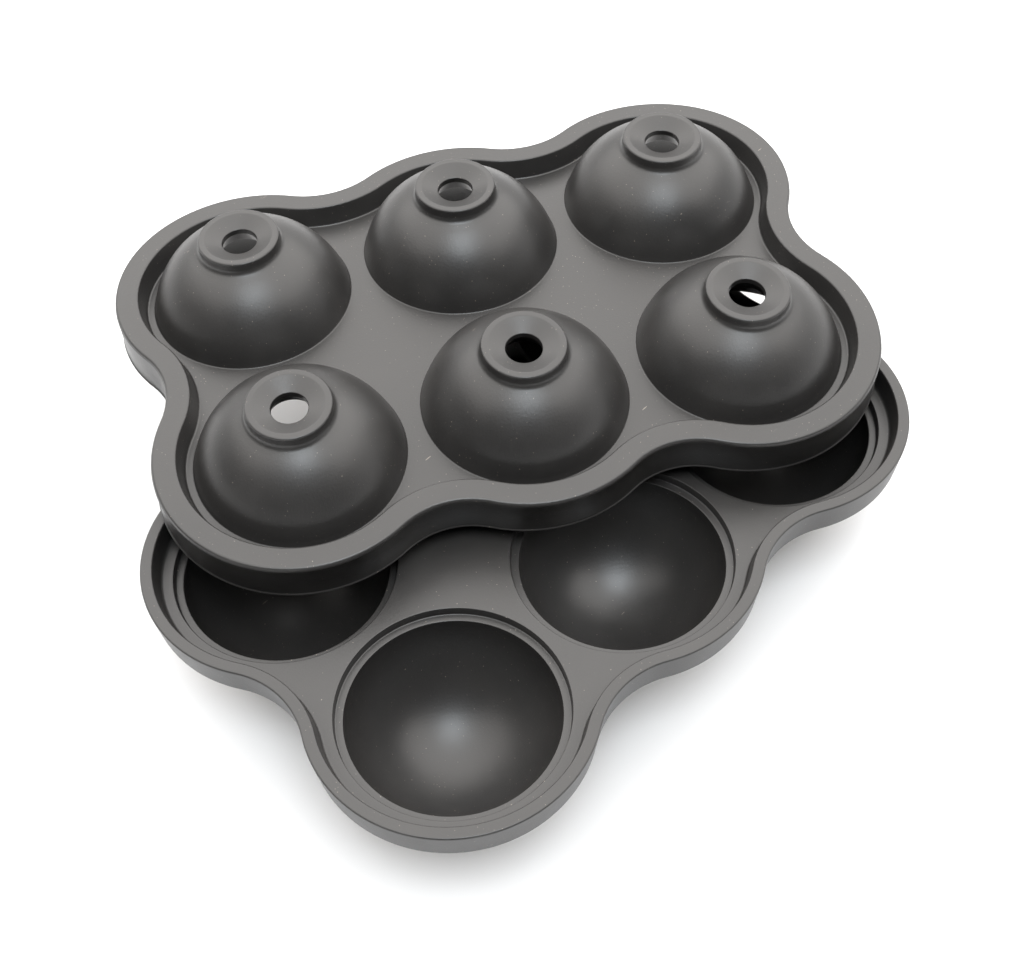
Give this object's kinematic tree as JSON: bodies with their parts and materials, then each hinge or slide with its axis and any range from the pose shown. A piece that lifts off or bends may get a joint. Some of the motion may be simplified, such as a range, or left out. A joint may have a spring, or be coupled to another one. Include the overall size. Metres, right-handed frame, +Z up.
{
  "type": "ice ball mold",
  "caption": "Two-part silicone ice ball mold: a scalloped tray of round cups, and a domed lid with collared fill holes lying loose and askew on the tray.",
  "frame": {"origin": "bottom centre of the box round the tray and the lid, on the plane of the cups' feet", "axes": "+Z up, +X along the tray's long side, +Y across the tray, to the side that the lid hangs over"},
  "size_m": [0.1958, 0.1726, 0.0571],
  "materials": {
    "silicone": "matte moulded silicone"
  },
  "bodies": {
    "tray": {"lower_half": "silicone"},
    "lid": {"upper_half": "silicone"}
  },
  "joints": [
    {"name": "lid_lift", "type": "slide", "parent": "tray", "child": "lid", "axis": [0, 0, 1], "range_m": [0, 0.06]}
  ]
}
